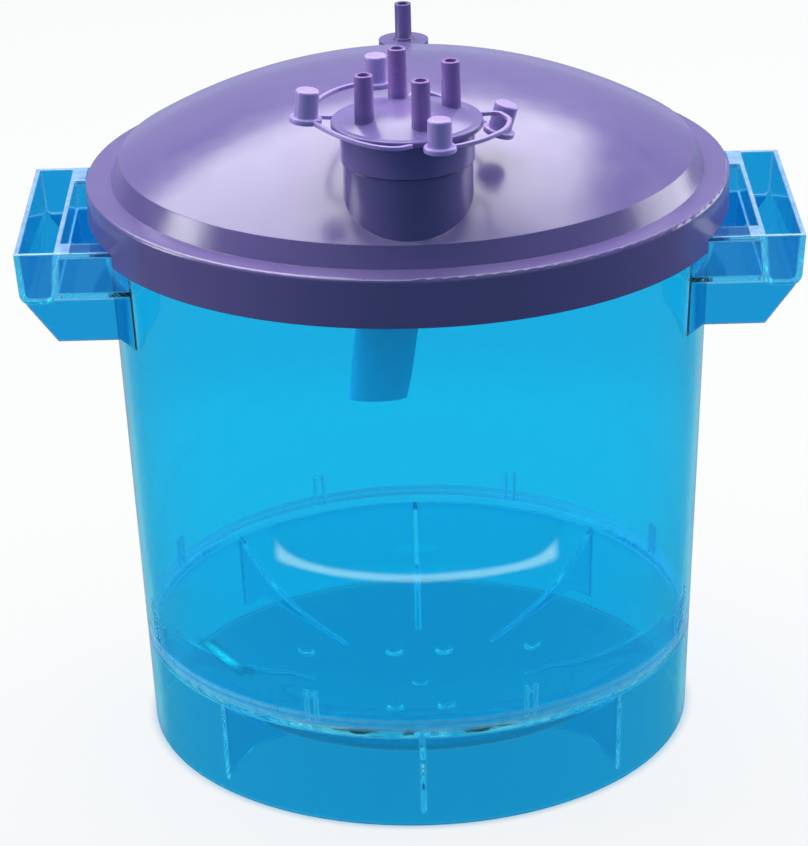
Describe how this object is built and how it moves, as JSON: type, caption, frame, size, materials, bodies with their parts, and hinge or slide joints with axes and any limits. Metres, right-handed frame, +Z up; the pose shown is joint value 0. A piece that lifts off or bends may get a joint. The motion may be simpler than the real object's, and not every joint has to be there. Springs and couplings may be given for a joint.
{
  "type": "suction canister",
  "caption": "Wide clear fluid collection canister with two box handles, a domed snap lid, and a spout cap with tubing ports and tethered plugs.",
  "frame": {"origin": "centre of the jar's foot, on the surface that it stands on", "axes": "+Z up, -Y to the front where the pour spout is, handles along X"},
  "size_m": [0.3958, 0.33, 0.397],
  "materials": {
    "clear_blue": "clear tinted, glossy",
    "violet": "glossy moulded",
    "soft_seal": "soft matt",
    "soft_sleeve": "soft satin",
    "valve_white": "moulded satin"
  },
  "bodies": {
    "jar": {"canister_jar": "clear_blue"},
    "lid_assembly": {"lid": "violet", "rim_seal": "soft_seal", "drop_sleeve": "soft_sleeve", "float_cage": "valve_white", "valve_seal": "soft_seal"},
    "cap": {"port_cap": "violet"},
    "float": {"shutoff_float": "valve_white"},
    "front_tether": {"tether_front": "violet"},
    "left_tether": {"tether_left": "violet"},
    "back_tether": {"tether_back": "violet"},
    "right_tether": {"tether_right": "violet"}
  },
  "joints": [
    {"name": "lid_lift", "type": "slide", "parent": "jar", "child": "lid_assembly", "axis": [0, 0, 1], "range_m": [0, 0.1]},
    {"name": "cap_lift", "type": "slide", "parent": "lid_assembly", "child": "cap", "axis": [0, 0, 1], "range_m": [0, 0.03]},
    {"name": "float_rise", "type": "slide", "parent": "lid_assembly", "child": "float", "axis": [0, 0, 1], "range_m": [0, 0.0177]},
    {"name": "front_tether_hinge", "type": "hinge", "parent": "cap", "child": "front_tether", "pos_m": [0.00132, -0.15257, 0.3675], "axis": [-0.0349, 0.9994, 0], "range_deg": [-8, 25], "stiffness_Nm_per_rad": 0.03},
    {"name": "left_tether_hinge", "type": "hinge", "parent": "cap", "child": "left_tether", "pos_m": [-0.03668, -0.10565, 0.3675], "axis": [0.9703, -0.2419, 0], "range_deg": [-8, 25], "stiffness_Nm_per_rad": 0.03},
    {"name": "back_tether_hinge", "type": "hinge", "parent": "cap", "child": "back_tether", "pos_m": [0.00198, -0.07704, 0.3675], "axis": [-0.0523, -0.9986, 0], "range_deg": [-3, 35], "stiffness_Nm_per_rad": 0.03},
    {"name": "right_tether_hinge", "type": "hinge", "parent": "cap", "child": "right_tether", "pos_m": [0.03683, -0.10629, 0.3675], "axis": [-0.9744, -0.225, 0], "range_deg": [-8, 25], "stiffness_Nm_per_rad": 0.03}
  ]
}
